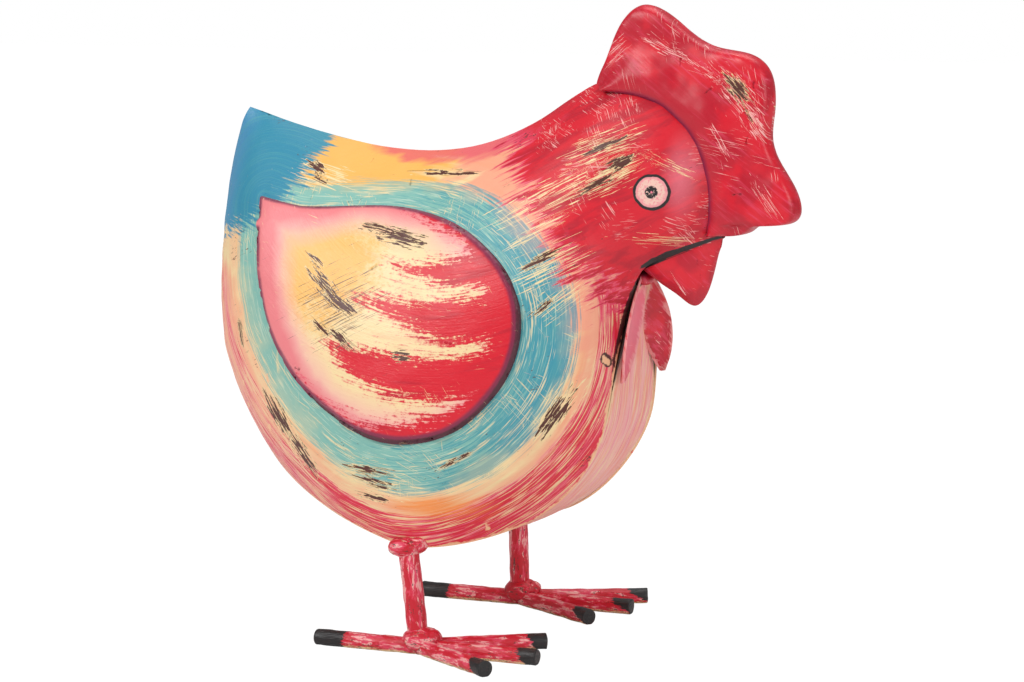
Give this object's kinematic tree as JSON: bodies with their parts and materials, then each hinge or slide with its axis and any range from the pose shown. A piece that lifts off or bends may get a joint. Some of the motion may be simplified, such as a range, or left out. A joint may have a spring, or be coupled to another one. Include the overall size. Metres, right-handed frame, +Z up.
{
  "type": "rooster figurine",
  "caption": "Free-standing hollow sheet-metal rooster with domed wings, puffed comb and hanging wattles, on welded rod legs with splayed toe bars.",
  "frame": {"origin": "on the ground, at the centre of the figure's bounding box", "axes": "+X from tail to beak, +Y to the bird's left, +Z up"},
  "size_m": [0.3099, 0.204, 0.3139],
  "materials": {
    "painted_shell": "hand-brushed satin paint, worn",
    "painted_breast": "hand-brushed satin paint, worn",
    "painted_comb": "hand-brushed satin paint, scratched",
    "painted_wing": "hand-brushed satin paint, chipped",
    "painted_wattle": "hand-brushed satin paint",
    "painted_rod": "hand-brushed satin paint, rubbed",
    "weld": "painted weld metal"
  },
  "bodies": {
    "root": {"side_shell_right": "painted_shell", "side_shell_left": "painted_shell", "breast_plate": "painted_breast", "comb_right": "painted_comb", "comb_left": "painted_comb", "beak_right": "painted_comb", "beak_left": "painted_comb", "wing_right": "painted_wing", "wing_left": "painted_wing", "wattle_right": "painted_wattle", "wattle_left": "painted_wattle", "throat_weld": "painted_wattle", "right_leg": "painted_rod", "right_foot_bar": "painted_rod", "right_inner_toe": "painted_rod", "right_outer_toe": "painted_rod", "right_ankle_weld": "weld", "right_hip_weld": "weld", "left_leg": "painted_rod", "left_foot_bar": "painted_rod", "left_inner_toe": "painted_rod", "left_outer_toe": "painted_rod", "left_ankle_weld": "weld", "left_hip_weld": "weld"}
  },
  "joints": []
}
